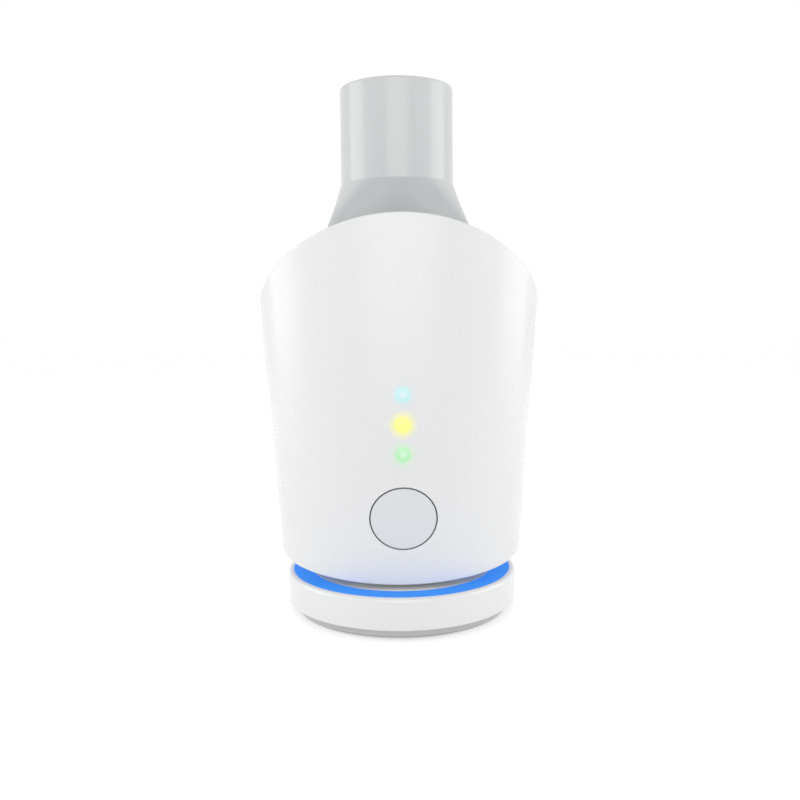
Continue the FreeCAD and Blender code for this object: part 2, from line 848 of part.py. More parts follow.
def pad_disc():
    z = pad_height - disc_recess - disc_thickness
    return cylinder(disc_radius - disc_gap, disc_thickness, V(0, 0, z))


def pad_base():
    """Recessed grey bottom with a step that plugs into the housing."""
    low = foot_ring_height - foot_ring_seat
    r, inner = pad_base_radius, pad_radius - pad_wall - fit
    top = low + pad_base_thickness
    step_top = top + base_step_height
    plate = spun([(0, low), (r - base_edge, low), (r, low + base_edge), (r, top), (inner, top),
                  (inner, step_top), (0, step_top)])
    plate = plate.cut(ring(foot_ring_outer, foot_ring_inner, foot_ring_seat, low))
    plate = plate.cut(cylinder(inner - base_step_wall, base_step_height, V(0, 0, top)))
    for x, y in pad_screw_places():
        plate = plate.cut(cylinder(screw_radius + fit, pad_base_thickness, V(x, y, low)))
        plate = plate.cut(cylinder(head_radius + fit, head_height, V(x, y, low)))
    return plate.cut(socket_hole()).cut(socket_room())


def pad_screw_places():
    places = []
    for index in range(pad_screw_count):
        t = math.radians(pad_screw_turn + 360.0 * index / pad_screw_count)
        places.append((pad_screw_pcd_radius * math.cos(t), pad_screw_pcd_radius * math.sin(t)))
    return places


def pad_screws():
    screws = []
    low = foot_ring_height - foot_ring_seat
    length = pad_board_bottom_z() + pad_board_thickness - low
    for x, y in pad_screw_places():
        head = cylinder(head_radius, head_height, V(x, y, low))
        shank = cylinder(screw_radius, length, V(x, y, low))
        half = head_cross_width / 2
        slot = block((x - head_radius, y - half, low), (x + head_radius, y + half, low + head_cross_depth))
        screws.append(head.fuse(shank).cut(slot).removeSplitter())
    return Part.makeCompound(screws)


def pad_foot_ring():
    return ring(foot_ring_outer, foot_ring_inner, foot_ring_height, 0)


def pad_base_top_z():
    return foot_ring_height - foot_ring_seat + pad_base_thickness


def pad_board_bottom_z():
    return pad_base_top_z() + pad_board_gap


def pad_board():
    board = cylinder(pad_board_radius, pad_board_thickness, V(0, 0, pad_board_bottom_z()))
    for x, y in pad_screw_places():
        board = board.cut(cylinder(screw_radius + fit, pad_height, V(x, y, 0)))
    half = socket_half_width + board_notch_margin
    notch = block((-half, socket_back_y - socket_depth, 0), (half, pad_radius, pad_height))
    return board.cut(notch)


def ring_leds():
    half = ring_led_size / 2
    z = pad_board_bottom_z() + pad_board_thickness
    chips = []
    for index in range(ring_led_count):
        x, y = ring_led_place(index)
        chips.append(block((x - half, y - half, z), (x + half, y + half, z + ring_led_height)))
    return Part.makeCompound(chips)


def transmitter_ferrite():
    z = pad_height - pad_roof - transmitter_height - ferrite_thickness
    return cylinder(transmitter_outer + ferrite_margin, ferrite_thickness, V(0, 0, z))


def transmitter_coil():
    z = pad_height - pad_roof - transmitter_height
    return ring(transmitter_outer, transmitter_inner, transmitter_height, z)


def usb_socket():
    """Metal shell of the pad's inlet, with a tongue inside."""
    back = socket_back_y
    front = back - socket_depth
    half, high = socket_half_width, socket_height / 2
    outside = block((-half, front, socket_z - high), (half, back, socket_z + high))
    w = socket_wall
    inside = block((-half + w, front + w, socket_z - high + w), (half - w, back, socket_z + high - w))
    side, thick = half - contact_tongue_margin, contact_tongue_half_height
    tongue = block((-side, front, socket_z - thick), (side, back - contact_tongue_setback, socket_z + thick))
    return outside.cut(inside).fuse(tongue).removeSplitter()


def strain_relief(thick_end, way):
    """Tapered sleeve from the plug's body along the lead, with rings cut round it."""
    sleeve = Part.makeCone(relief_radius, cable_radius + relief_end_wall, relief_length, thick_end, way)
    pitch = (relief_length - lead_grip) / relief_ring_count
    for index in range(relief_ring_count):
        start = thick_end + way * ((index + 0.5) * pitch - relief_ring_width / 2)
        core = cylinder(cable_radius + relief_core_wall, relief_ring_width, start, way)
        sleeve = sleeve.cut(cylinder(2 * relief_radius, relief_ring_width, start, way).cut(core))
    return sleeve


def cable_plug():
    """Moulded plug in the pad's back, with its tongue and tapered strain relief."""
    half, high = cable_plug_half_width, cable_plug_height / 2
    front = socket_back_y + fit
    body = block((-half, front, socket_z - high), (half, plug_back_y, socket_z + high))
    along = [e for e in body.Edges if abs(e.Length - (plug_back_y - front)) < 1e-6]
    body = body.makeFillet(plug_corner, along)
    back_edges = [e for e in body.Edges if all(abs(v.Y - plug_back_y) < 1e-6 for v in e.Vertexes)]
    body = body.makeChamfer(plug_edge, back_edges)
    relief = strain_relief(V(0, plug_back_y, socket_z), BACK)
    shell_front = socket_back_y - socket_depth + socket_wall + plug_tongue_end_gap
    w = socket_wall + plug_tongue_gap
    tongue_half, tongue_high = socket_half_width - w, socket_height / 2 - w
    tongue = block((-tongue_half, shell_front, socket_z - tongue_high),
                   (tongue_half, front, socket_z + tongue_high))
    side = socket_half_width - contact_tongue_margin + plug_tongue_gap
    thick = contact_tongue_half_height + plug_tongue_gap
    mouth = block((-side, shell_front, socket_z - thick), (side, front - plug_mouth_floor, socket_z + thick))
    plug = fuse_all([body, relief, tongue.cut(mouth)])
    bore_start = V(0, relief_back_y - lead_grip, socket_z)
    return plug.cut(cylinder(cable_radius, lead_grip, bore_start, BACK))


def coil_outer_turn():
    """Radius of the centre line of the coil's outermost turn."""
    return coil_mean_radius + (coil_turns_wide - 1) / 2 * cable_diameter


def cable_route():
    """Lead's points, from inside the strain relief to the coil's first turn."""
    return [
        V(0, relief_back_y - lead_grip, socket_z),
        V(0, 57.0, socket_z),
        V(1.4, 64.4, 3.4),
        V(5.0, 71.2, 1.8),
        V(10.8, 76.6, 1.5),
        V(17.0, 81.4, 1.5),
        V(22.0, 87.2, 1.5),
        V(24.4, 94.2, 1.5),
        V(24.5, 100.4, 1.5),
    ]


def rounded_path(points):
    """Straight runs joined by tangent arcs, each as large as its two runs allow."""
    edges = []
    start = points[0]
    radii = []
    for before, corner, after in zip(points, points[1:], points[2:]):
        to_corner, from_corner = corner - before, after - corner
        half_turn = to_corner.getAngle(from_corner) / 2
        reach = 0.45 * min(to_corner.Length, from_corner.Length)
        radii.append(reach / math.tan(half_turn))
        way_in, way_out = to_corner.normalize(), from_corner.normalize()
        enter, leave = corner - way_in * reach, corner + way_out * reach
        inward = (way_out - way_in).normalize()
        sagitta = radii[-1] * (1 / math.cos(half_turn) - 1)
        edges.append(Part.LineSegment(start, enter).toShape())
        edges.append(Part.Arc(enter, corner + inward * sagitta, leave).toShape())
        start = leave
    edges.append(Part.LineSegment(start, points[-1]).toShape())
    print("cable radii", ["%.1f" % radius for radius in radii])
    return Part.Wire(edges)


def cable():
    path = rounded_path(cable_route())
    first = path.Edges[0]
    direction = first.tangentAt(first.FirstParameter)
    section = Part.Wire([Part.Circle(cable_route()[0], direction, cable_radius).toShape()])
    tube = path.makePipeShell([section], True, True)
    area = math.pi * cable_radius ** 2
    print("cable length %.1f volume ratio %.4f" % (path.Length, tube.Volume / (path.Length * area)))
    return tube


def cable_coil():
    """Outer shape of the put-away coil, with its edges rounded like the lead."""
    x, y = coil_centre
    height = coil_layers * cable_diameter
    c = cable_radius * coil_edge_share
    outer = coil_outer_turn() + cable_radius
    inner = outer - coil_turns_wide * cable_diameter
    profile = [(inner + c, 0), (outer - c, 0), (outer, c), (outer, height - c), (outer - c, height),
               (inner + c, height), (inner, height - c), (inner, c)]
    return spun(profile, x, y)


def usb_plug():
    """Wide plug that lies on the table beside the coil, with its strain relief."""
    x, y = coil_centre
    line_y = y + coil_outer_turn()
    axis_z = usb_body_height / 2
    relief_start = x - usb_gap_to_coil
    body_start = relief_start - relief_length
    body_end = body_start - usb_body_length
    half = usb_body_half_width
    body = block((body_end, line_y - half, 0), (body_start, line_y + half, usb_body_height))
    along = [e for e in body.Edges if abs(e.Length - usb_body_length) < 1e-6]
    body = body.makeFillet(usb_corner, along)
    relief_side = [e for e in body.Edges if all(abs(v.X - body_start) < 1e-6 for v in e.Vertexes)]
    body = body.makeChamfer(plug_edge, relief_side)
    relief = strain_relief(V(body_start, line_y, axis_z), RIGHT)
    w, h, t = usb_shell_half_width, usb_shell_height / 2, usb_shell_wall
    mouth_x = body_end - usb_shell_length
    shell = block((mouth_x, line_y - w, axis_z - h), (body_end, line_y + w, axis_z + h))
    window_x = mouth_x + usb_window_setback
    for middle_y in (line_y - w / 2, line_y + w / 2):
        corner = V(window_x, middle_y - usb_window / 2, axis_z)
        shell = shell.cut(Part.makeBox(usb_window, usb_window, h, corner))
    hollow = block((mouth_x, line_y - w + t, axis_z - h + t), (body_end - t, line_y + w - t, axis_z + h - t))
    tongue = block((mouth_x + t, line_y - w + t, axis_z - h + t),
                   (body_end - t, line_y + w - t, axis_z - h + t + usb_tongue_height))
    return fuse_all([body, relief, shell.cut(hollow).fuse(tongue)])


def main():
    os.makedirs("parts", exist_ok=True)
    save("front_shell", front_shell(), dock_z)
    save("rear_shell", rear_shell(), dock_z)
    save("top_cover", top_cover(), dock_z)
    save("base_plate", base_plate(), dock_z)
    save("base_foot", base_foot(), dock_z)
    save("receiver_coil", receiver_coil(), dock_z)
    save("receiver_ferrite", receiver_ferrite(), dock_z)
    save("mouthpiece", mouthpiece(), dock_z)
    save("mouthpiece_seal", mouthpiece_seal(), dock_z)
    save("flow_duct", flow_duct(), dock_z)
    save("transducer_lower", transducer(-1), dock_z)
    save("transducer_upper", transducer(1), dock_z)
    save("transducer_seals", transducer_seals(), dock_z)
    save("transducer_caps", transducer_caps(), dock_z)
    save("button_cap", button_cap(), dock_z)
    save("button_gasket", button_gasket(), dock_z)
    save("button_switch", button_switch(), dock_z)
    for colour, z in zip(("cyan", "yellow", "green"), lamp_heights()):
        save("lamp_lens_" + colour, lamp_lens(z), dock_z)
    save("lamp_chips", lamp_chips(), dock_z)
    save("main_board", main_board(), dock_z)
    save("board_parts", board_parts(), dock_z)
    save("battery", battery(), dock_z)
    save("case_screws", case_screws(), dock_z)
    save("board_screws", board_screws(), dock_z)
    save("pad_housing", pad_housing())
    save("pad_ring", pad_ring())
    save("pad_disc", pad_disc())
    save("pad_base", pad_base())
    save("pad_foot_ring", pad_foot_ring())
    save("pad_screws", pad_screws())
    save("pad_board", pad_board())
    save("ring_leds", ring_leds())
    save("transmitter_coil", transmitter_coil())
    save("transmitter_ferrite", transmitter_ferrite())
    save("usb_socket", usb_socket())
    save("cable_plug", cable_plug())
    save("cable", cable())
    save("cable_coil", cable_coil())
    save("usb_plug", usb_plug())


main()
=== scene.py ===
import math

import bpy
from mathutils import Matrix, Vector


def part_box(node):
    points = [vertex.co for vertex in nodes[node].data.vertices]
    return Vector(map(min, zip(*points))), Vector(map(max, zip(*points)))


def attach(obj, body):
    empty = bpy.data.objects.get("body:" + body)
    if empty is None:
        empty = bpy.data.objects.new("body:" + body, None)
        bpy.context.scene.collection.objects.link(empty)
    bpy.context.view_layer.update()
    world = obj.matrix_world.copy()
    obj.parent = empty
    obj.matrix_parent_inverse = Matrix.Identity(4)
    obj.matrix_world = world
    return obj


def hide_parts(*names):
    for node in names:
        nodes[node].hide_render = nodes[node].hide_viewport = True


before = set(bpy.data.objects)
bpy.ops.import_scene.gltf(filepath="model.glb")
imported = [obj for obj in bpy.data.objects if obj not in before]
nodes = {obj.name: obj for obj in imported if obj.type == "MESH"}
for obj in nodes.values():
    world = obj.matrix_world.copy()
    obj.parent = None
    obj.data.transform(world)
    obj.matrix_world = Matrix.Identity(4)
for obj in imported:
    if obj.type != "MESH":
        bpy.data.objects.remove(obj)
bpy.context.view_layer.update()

millimetre = 0.001

# Camera: level with the handset's middle, a little left of its front, tilted down and slightly rolled
camera_distance = 0.2344
camera_height = 0.0776
camera_azimuth = math.radians(-1.5)
camera_tilt = math.radians(5.4)
camera_roll = math.radians(0.57)
sensor_width = 0.036
photo_width = 800.0
focal_pixels = 881.0
nearest_seen = 0.005

# The lead's route, from inside the strain relief to the coil's first turn
cable_diameter = 0.003
cable_points = [
    (0.0, 0.04955, 0.00505),
    (0.0, 0.0570, 0.00505),
    (0.0014, 0.0644, 0.0034),
    (0.0050, 0.0712, 0.0018),
    (0.0108, 0.0766, 0.0015),
    (0.0170, 0.0814, 0.0015),
    (0.0220, 0.0872, 0.0015),
    (0.0244, 0.0942, 0.0015),
]

# The put-away coil. Its last quarter turn lies a little lower than the upper layer, towards the plug
coil_centre = Vector((0.002, 0.102, 0.0))
coil_mean_radius = 0.018
coil_turns_wide = 4
coil_steps = 20
coil_climb_steps = 5
coil_end_height = 1.45 * cable_diameter

# The far plug: how deep the lead goes in, and its steel mouth, a hair under 12 mm so that the overmould's
# own face stays white
plug_grip = 1.0 * millimetre
plug_mouth_length = 0.01199

# Scales of noise and patterns, in waves per metre
drift_scale = 22.0
marks_scale = 900.0
frost_scale = 900.0
resist_scale = 120.0
crease_scale = 140.0
ring_scale = 110.0
wire_scale = 390.0
track_scale = 260.0

# How far a moulding's gloss varies, as a share of it, and how wide a board's tracks are in their pattern
gloss_change = 0.04
track_width = 0.03

# Light: level of the sky, and the floor's grey and its glow for the camera and in reflections
sky_level = 0.63
floor_size = 6.0
floor_grey = 0.8
floor_glow = 0.45

# Lamps round the set: place, width, height, watts, and whether gloss mirrors the lamp
light_aim = (0.0, 0.0, 0.07)
soft_boxes = {
    "front_box": ((0.0, -0.65, 0.15), 0.5, 0.5, 1.5, True),
    "back_box": ((0.0, 0.65, 0.22), 0.5, 0.5, 1.3, False),
    "left_box": ((-0.45, 0.0, 0.14), 0.3, 0.26, 0.53, True),
    "right_box": ((0.45, 0.0, 0.14), 0.3, 0.26, 0.49, True),
    "left_strip": ((-0.33, 0.25, 0.13), 0.1, 0.24, 0.08, False),
    "right_strip": ((0.33, 0.25, 0.13), 0.1, 0.24, 0.10, False),
}

# Signal lamps: the bright spot over the chip, the lens round it, and the glow of their light painted into
# the casing's colour, with its reach
lamp_radius = 1.95 * millimetre
spot_inner, spot_outer = 0.5 * millimetre, 1.05 * millimetre
lamp_looks = {
    "cyan": {"spot": (0.74, 0.89, 0.94), "ring": (0.57, 0.86, 0.86), "reach": 3.4 * millimetre,
             "painted_glow": (0.75, 0.845, 0.87)},
    "yellow": {"spot": (0.97, 0.97, 0.29), "ring": (0.97, 0.97, 0.28), "reach": 3.8 * millimetre,
               "painted_glow": (0.97, 0.965, 0.45)},
    "green": {"spot": (0.68, 0.92, 0.70), "ring": (0.49, 0.87, 0.51), "reach": 3.8 * millimetre,
              "painted_glow": (0.71, 0.87, 0.72)},
}
lamp_glow_share = 0.72

# The neck's flattened front face, with shade painted on it that makes it darker than its flanks, narrow at
# the top and wider below.
# Its two limits are measured sideways from the middle, and backwards from a plane that lies face_depth in
# front of it
face_inner, face_outer = 7.0 * millimetre, 10.5 * millimetre
face_widening = 0.9
face_depth = 10.0 * millimetre

# Colours that more than one piece has
casing_white = (0.82, 0.825, 0.83)
overmould_white = (0.82, 0.82, 0.83)
# The first grey is painted shade for the neck's front face, the second the neck's and tube's own grey
painted_face_shade, flank_grey = (0.53, 0.545, 0.55), (0.615, 0.63, 0.635)


def add_camera():
    """The photograph's view, given as a place and three turned axes."""
    side, ahead = math.sin(camera_azimuth), math.cos(camera_azimuth)
    place = Vector((side * camera_distance, -ahead * camera_distance, camera_height))
    forward = Vector((-side, ahead, 0.0))
    right = forward.cross(Vector((0, 0, 1))).normalized()
    forward = (forward * math.cos(camera_tilt) - Vector((0, 0, math.sin(camera_tilt)))).normalized()
    up = right.cross(forward)
    turned_right = right * math.cos(camera_roll) - up * math.sin(camera_roll)
    turned_up = up * math.cos(camera_roll) + right * math.sin(camera_roll)
    camera = bpy.data.cameras.new("camera")
    camera.sensor_width = sensor_width / millimetre
    camera.lens = focal_pixels / photo_width * camera.sensor_width
    camera.clip_start = nearest_seen
    holder = bpy.data.objects.new("camera", camera)
    axes = Matrix((turned_right, turned_up, -forward)).transposed()
    holder.matrix_world = Matrix.Translation(place) @ axes.to_4x4()
    bpy.context.scene.collection.objects.link(holder)
    bpy.context.scene.camera = holder


def eased(share):
    """Smooth step from 0 to 1."""
    share = min(1.0, max(0.0, share))
    return share * share * (3 - 2 * share)


def on_coil(step, radius, height):
    """Point of the coil after a number of steps round it."""
    angle = math.tau * step / coil_steps
    return coil_centre + Vector((radius * math.cos(angle), radius * math.sin(angle), height))


def coil_points():
    """Two flat layers, the lower winding inwards and the upper outwards, and the end that leaves them."""
    across = (coil_turns_wide - 1) * cable_diameter
    outer = coil_mean_radius + across / 2
    layer_steps = coil_turns_wide * coil_steps
    turns = []
    for step in range(2 * layer_steps):
        inward = step / layer_steps if step < layer_steps else 2 - step / layer_steps
        climb = eased((step - layer_steps + coil_climb_steps) / coil_climb_steps)
        turns.append(on_coil(step, outer - inward * across, cable_diameter * (0.5 + climb)))
    for step in range(coil_steps // 4 + 1):
        turns.append(on_coil(step, outer, coil_end_height))
    return turns


def add_cable():
    """The white lead, as one smooth spline from the pad's plug through the coil to the far plug."""
    far_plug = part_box("usb_plug")
    line_y = (far_plug[0].y + far_plug[1].y) / 2
    line_z = (far_plug[0].z + far_plug[1].z) / 2
    points = [Vector(p) for p in cable_points] + coil_points()
    points.append(Vector((far_plug[1].x - plug_grip, line_y, line_z)))
    curve = bpy.data.curves.new("lead", "CURVE")
    curve.dimensions = "3D"
    curve.bevel_depth = 1.0
    curve.bevel_resolution = 5
    curve.use_fill_caps = True
    spline = curve.splines.new("NURBS")
    spline.points.add(len(points) - 1)
    for place, point in zip(points, spline.points):
        point.co = (*place, 1.0)
        point.radius = cable_diameter / 2
    spline.order_u = 3
    spline.use_endpoint_u = True
    spline.resolution_u = 6
    lead = bpy.data.objects.new("lead", curve)
    bpy.context.scene.collection.objects.link(lead)
    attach(lead, "pad")
    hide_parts("cable", "cable_coil")
    lead.data.materials.append(plastic("cable_white", (0.80, 0.80, 0.81), roughness=0.45, grain=1800.0))


def node_material(name):
    """New material with its tree and its shader."""
    material = bpy.data.materials.new(name)
    material.use_nodes = True
    tree = material.node_tree
    return material, tree, tree.nodes["Principled BSDF"]


def finished(material):
    """Tree and shader of a finished material, and the output that gives its colour."""
    tree = material.node_tree
    shader = tree.nodes["Principled BSDF"]
    return tree, shader, shader.inputs["Base Color"].links[0].from_socket


def object_place(tree, stretch=(1.0, 1.0, 1.0)):
    """The point in the object's own metres, stretched along its axes."""
    place = tree.nodes.new("ShaderNodeTexCoord")
    scaled = tree.nodes.new("ShaderNodeVectorMath")
    scaled.operation = "MULTIPLY"
    scaled.inputs[1].default_value = stretch
    tree.links.new(place.outputs["Object"], scaled.inputs[0])
    return scaled.outputs["Vector"]


def object_axes(tree):
    """The point's x, y and z in the object's own metres, by name."""
    split = tree.nodes.new("ShaderNodeSeparateXYZ")
    tree.links.new(object_place(tree), split.inputs["Vector"])
    return split.outputs


def noise(tree, scale, detail=2.0, stretch=(1.0, 1.0, 1.0)):
    """Noise in the object's own metres."""
    texture = tree.nodes.new("ShaderNodeTexNoise")
    texture.inputs["Scale"].default_value = scale
    texture.inputs["Detail"].default_value = detail
    tree.links.new(object_place(tree, stretch), texture.inputs["Vector"])
    return texture.outputs["Fac"]


def spread(tree, source, low, high, source_low=0.3, source_high=0.7):
    """Value that runs from low to high as the source runs between its two limits."""
    ramp = tree.nodes.new("ShaderNodeMapRange")
    ramp.inputs["From Min"].default_value = source_low
    ramp.inputs["From Max"].default_value = source_high
    ramp.inputs["To Min"].default_value = low
    ramp.inputs["To Max"].default_value = high
    tree.links.new(source, ramp.inputs["Value"])
    return ramp.outputs["Result"]


def between(tree, share, low, high):
    """Value that runs from low to high as a share runs from 0 to 1."""
    return spread(tree, share, low, high, 0.0, 1.0)


def arithmetic(tree, operation, first, second):
    """One sum on two values, each given as a number or as a node's output."""
    node = tree.nodes.new("ShaderNodeMath")
    node.operation = operation
    for socket, value in zip(node.inputs, (first, second)):
        if isinstance(value, float):
            socket.default_value = value
        else:
            tree.links.new(value, socket)
    return node.outputs["Value"]


def blended(tree, factor, first, second):
    """Colour between two colours, each given as numbers or as a node's output."""
    mix = tree.nodes.new("ShaderNodeMix")
    mix.data_type = "RGBA"
    for socket, colour in ((mix.inputs["A"], first), (mix.inputs["B"], second)):
        if isinstance(colour, tuple):
            socket.default_value = (*colour, 1.0)
        else:
            tree.links.new(colour, socket)
    tree.links.new(factor, mix.inputs["Factor"])
    return mix.outputs["Result"]


def tint(tree, source, colour, change):
    """Colour that lightens and darkens by the given share with the source."""
    dark = tuple(c * (1 - change) for c in colour)
    light = tuple(min(1.0, c * (1 + change)) for c in colour)
    return blended(tree, spread(tree, source, 0.0, 1.0), dark, light)


def relief(tree, shader, height, distance, strength=0.5):
    """Small unevenness of the surface that follows a value."""
    bump = tree.nodes.new("ShaderNodeBump")
    bump.inputs["Distance"].default_value = distance
    bump.inputs["Strength"].default_value = strength
    tree.links.new(height, bump.inputs["Height"])
    tree.links.new(bump.outputs["Normal"], shader.inputs["Normal"])


def near(tree, place, inner, outer):
    """1 within the inner distance of a place, fading to 0 at the outer one."""
    gap = tree.nodes.new("ShaderNodeVectorMath")
    gap.operation = "DISTANCE"
    gap.inputs[1].default_value = place
    tree.links.new(object_place(tree), gap.inputs[0])
    return spread(tree, gap.outputs["Value"], 1.0, 0.0, inner, outer)


def plastic(name, colour, roughness=0.35, grain=2600.0, bump=0.000005, change=0.008):
    """Moulded surface: a slow drift in its colour, a fine grain, and gloss that is uneven with the grain."""
    material, tree, shader = node_material(name)
    grains = noise(tree, grain)
    gloss = spread(tree, grains, roughness * (1 - gloss_change), roughness * (1 + gloss_change))
    drift = noise(tree, drift_scale, detail=0.0)
    tree.links.new(tint(tree, drift, colour, change), shader.inputs["Base Color"])
    tree.links.new(gloss, shader.inputs["Roughness"])
    relief(tree, shader, grains, bump)
    return material


def metal(name, colour, roughness, stretch=(1.0, 1.0, 1.0)):
    """Plated or drawn metal with fine marks, which a stretch draws out along one way."""
    material, tree, shader = node_material(name)
    marks = noise(tree, marks_scale, detail=3.0, stretch=stretch)
    tree.links.new(tint(tree, marks, colour, change=0.08), shader.inputs["Base Color"])
    tree.links.new(spread(tree, marks, roughness * 0.8, roughness * 1.25), shader.inputs["Roughness"])
    relief(tree, shader, marks, distance=0.00001)
    shader.inputs["Metallic"].default_value = 1.0
    return material


def winding(name):
    """Flat coil of enamelled wire, one ring every wire's width."""
    material, tree, shader = node_material(name)
    rings = tree.nodes.new("ShaderNodeTexWave")
    rings.wave_type = "RINGS"
    rings.rings_direction = "Z"
    rings.inputs["Scale"].default_value = wire_scale
    tree.links.new(object_place(tree), rings.inputs["Vector"])
    height = rings.outputs["Fac"]
    copper = blended(tree, height, (0.18, 0.06, 0.03), (0.72, 0.34, 0.16))
    tree.links.new(copper, shader.inputs["Base Color"])
    relief(tree, shader, height, distance=0.0003, strength=1.0)
    shader.inputs["Metallic"].default_value = 0.9
    shader.inputs["Roughness"].default_value = 0.3
    shader.inputs["Coat Weight"].default_value = 0.6
    return material


def circuit(name):
    """Green solder resist with paler tracks, laid out like the joints between bricks."""
    material, tree, shader = node_material(name)
    tracks = tree.nodes.new("ShaderNodeTexBrick")
    tracks.inputs["Color1"].default_value = (0.0, 0.0, 0.0, 1.0)
    tracks.inputs["Color2"].default_value = (0.0, 0.0, 0.0, 1.0)
    tracks.inputs["Mortar"].default_value = (1.0, 1.0, 1.0, 1.0)
    tracks.inputs["Scale"].default_value = track_scale
    tracks.inputs["Mortar Size"].default_value = track_width
    turned = tree.nodes.new("ShaderNodeVectorRotate")
    turned.rotation_type = "X_AXIS"
    turned.inputs["Angle"].default_value = math.radians(90.0)
    tree.links.new(object_place(tree), turned.inputs["Vector"])
    tree.links.new(turned.outputs["Vector"], tracks.inputs["Vector"])
    green = tint(tree, noise(tree, resist_scale), (0.03, 0.20, 0.09), change=0.2)
    lines = between(tree, tracks.outputs["Color"], 0.0, 0.7)
    tree.links.new(blended(tree, lines, green, (0.10, 0.42, 0.20)), shader.inputs["Base Color"])
    relief(tree, shader, tracks.outputs["Color"], distance=0.00003)
    shader.inputs["Roughness"].default_value = 0.25
    return material


def pouch_foil():
    """Silver film of a pouch cell, with soft creases."""
    material, tree, shader = node_material("cell_silver")
    creases = noise(tree, crease_scale, detail=4.0)
    tree.links.new(tint(tree, creases, (0.58, 0.60, 0.62), change=0.06), shader.inputs["Base Color"])
    relief(tree, shader, creases, distance=0.0002)
    shader.inputs["Metallic"].default_value = 0.8
    shader.inputs["Roughness"].default_value = 0.35
    return material


def lamp_face(colour):
    """Middle of a lamp's front."""
    low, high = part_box("lamp_lens_" + colour)
    return Vector(((low.x + high.x) / 2, low.y, (low.z + high.z) / 2))


def lit_casing():
    """The casing's white, with the lamps' light painted into its colour as a glow round each of the three
    lamps.
    """
    material = plastic("shell_white", casing_white, roughness=0.27, bump=0.000001)
    tree, shader, colour = finished(material)
    # Painted glow: each lamp's light painted into the casing's colour, fading out to its reach
    for name, look in lamp_looks.items():
        colour = blended(tree, near(tree, lamp_face(name), lamp_radius, look["reach"]), colour, look["painted_glow"])
    tree.links.new(colour, shader.inputs["Base Color"])
    return material


def lamp_lens(name, look):
    """Frosted light pipe, brighter where the chip behind it shines through."""
    material, tree, shader = node_material("lamp_" + name)
    closeness = near(tree, lamp_face(name), spot_inner, spot_outer)
    lit = blended(tree, closeness, look["ring"], look["spot"])
    tree.links.new(lit, shader.inputs["Emission Color"])
    shader.inputs["Emission Strength"].default_value = lamp_glow_share
    own = tuple(c * (1 - lamp_glow_share) for c in look["ring"])
    tree.links.new(tint(tree, noise(tree, frost_scale), own, change=0.04), shader.inputs["Base Color"])
    shader.inputs["Roughness"].default_value = 0.35
    return material


def neck_grey_with_painted_shade():
    """The cover with its neck, with painted shade that makes its front face a darker grey than its flanks.
    """
    material = plastic("cover_grey", flank_grey, roughness=0.35)
    tree, shader, flank = finished(material)
    # Painted shade: the neck's front face darkened in its colour, not by the lamps
    painted_shade = tint(tree, noise(tree, drift_scale, detail=0.0), painted_face_shade, change=0.01)
    place = object_axes(tree)
    sideways = arithmetic(tree, "ABSOLUTE", place["X"], 0.0)
    backwards = arithmetic(tree, "ADD", place["Y"], face_depth)
    above = arithmetic(tree, "SUBTRACT", place["Z"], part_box("top_cover")[1].z)
    outwards = arithmetic(tree, "MAXIMUM", sideways, backwards)
    width = arithmetic(tree, "ADD", outwards, arithmetic(tree, "MULTIPLY", above, face_widening))
    share = spread(tree, width, 0.0, 1.0, face_inner, face_outer)
    tree.links.new(blended(tree, share, painted_shade, flank), shader.inputs["Base Color"])
    return material


def charger_plug():
    """White overmould with a steel mouth in front of it."""
    mould_roughness, steel_roughness = 0.4, 0.28
    material = plastic("plug_white_steel", overmould_white, mould_roughness)
    tree, shader, overmould = finished(material)
    mould_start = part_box("usb_plug")[0].x + plug_mouth_length
    steel = arithmetic(tree, "LESS_THAN", object_axes(tree)["X"], mould_start)
    marks = noise(tree, marks_scale, detail=3.0, stretch=(0.1, 1.0, 1.0))
    mouth = tint(tree, marks, (0.56, 0.56, 0.58), change=0.08)
    tree.links.new(blended(tree, steel, overmould, mouth), shader.inputs["Base Color"])
    tree.links.new(steel, shader.inputs["Metallic"])
    tree.links.new(between(tree, steel, mould_roughness, steel_roughness), shader.inputs["Roughness"])
    return material


def light_ring():
    """Milky ring that shines blue, slightly uneven round its length."""
    material, tree, shader = node_material("ring_blue")
    waves = noise(tree, ring_scale, detail=1.0)
    tree.links.new(tint(tree, waves, (0.020, 0.12, 0.38), change=0.05), shader.inputs["Base Color"])
    tree.links.new(tint(tree, waves, (0.030, 0.18, 0.60), change=0.03), shader.inputs["Emission Color"])
    shader.inputs["Specular IOR Level"].default_value = 0.1
    shader.inputs["Emission Strength"].default_value = 1.0
    shader.inputs["Roughness"].default_value = 0.6
    return material


def dress(material, *names):
    """Give the named nodes one material."""
    for name in names:
        slots = nodes[name].data.materials
        slots.clear()
        slots.append(material)


